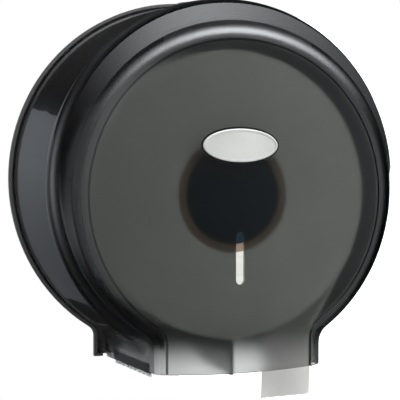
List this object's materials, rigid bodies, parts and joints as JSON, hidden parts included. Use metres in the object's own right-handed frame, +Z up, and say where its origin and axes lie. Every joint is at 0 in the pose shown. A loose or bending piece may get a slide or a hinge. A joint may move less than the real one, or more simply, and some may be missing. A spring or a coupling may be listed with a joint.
{
  "type": "jumbo toilet roll dispenser",
  "caption": "Round wall-mounted jumbo toilet roll dispenser: black back plate, smoked swing-down cover with mouth and cutter edges, roll on a spindle hub, top lock.",
  "frame": {"origin": "spindle axis on the wall plane, which is also the centre of the wall hole pattern", "axes": "+X to the right seen from the front, +Y into the wall, +Z up; the front faces -Y"},
  "size_m": [0.2746, 0.1359, 0.3123],
  "materials": {
    "black_plastic": "satin moulded ABS",
    "hub_plastic": "satin moulded ABS",
    "bush_plastic": "plain acetal",
    "smoked_plastic": "glossy, see-through smoked polycarbonate",
    "clear_plastic": "glossy, lightly smoked",
    "silver_plate": "satin silver",
    "black_pad": "matt foam",
    "steel": "zinc plated",
    "rubber": "matt",
    "paper": "soft tissue",
    "cardboard": "plain grey-brown board"
  },
  "bodies": {
    "wall_unit": {"back_plate": "black_plastic", "hinge_pin_left": "steel", "hinge_pin_right": "steel", "spindle_axle": "black_plastic", "axle_screws": "steel", "brake_washer": "steel", "retaining_washer": "steel", "retaining_screw": "steel", "latch_keeper": "steel", "keeper_screws": "steel", "rubber_bumpers": "rubber", "mouth_divider": "smoked_plastic", "paper_tail": "paper"},
    "roll_hub": {"hub_sleeve": "hub_plastic", "hub_bush_rear": "bush_plastic", "hub_bush_front": "bush_plastic", "hub_cap": "hub_plastic", "cardboard_core": "cardboard", "paper_roll": "paper"},
    "cover": {"front_cover": "smoked_plastic", "badge_plate": "silver_plate", "badge_pad": "black_pad", "cutter_strip_left": "clear_plastic", "cutter_strip_right": "clear_plastic", "lock_body": "steel", "lock_nut": "steel"},
    "lock": {"lock_plug": "steel", "lock_cam": "steel", "cam_screw": "steel"}
  },
  "joints": [
    {"name": "cover_hinge", "type": "hinge", "parent": "wall_unit", "child": "cover", "pos_m": [0, -0.014, -0.119], "axis": [1, 0, 0], "range_deg": [0, 90]},
    {"name": "roll_spin", "type": "hinge", "parent": "wall_unit", "child": "roll_hub", "pos_m": [0, -0.076, 0], "axis": [0, 1, 0], "continuous": true},
    {"name": "lock_turn", "type": "hinge", "parent": "cover", "child": "lock", "pos_m": [0, -0.03, 0.137], "axis": [0, 0, -1], "range_deg": [0, 90]}
  ]
}
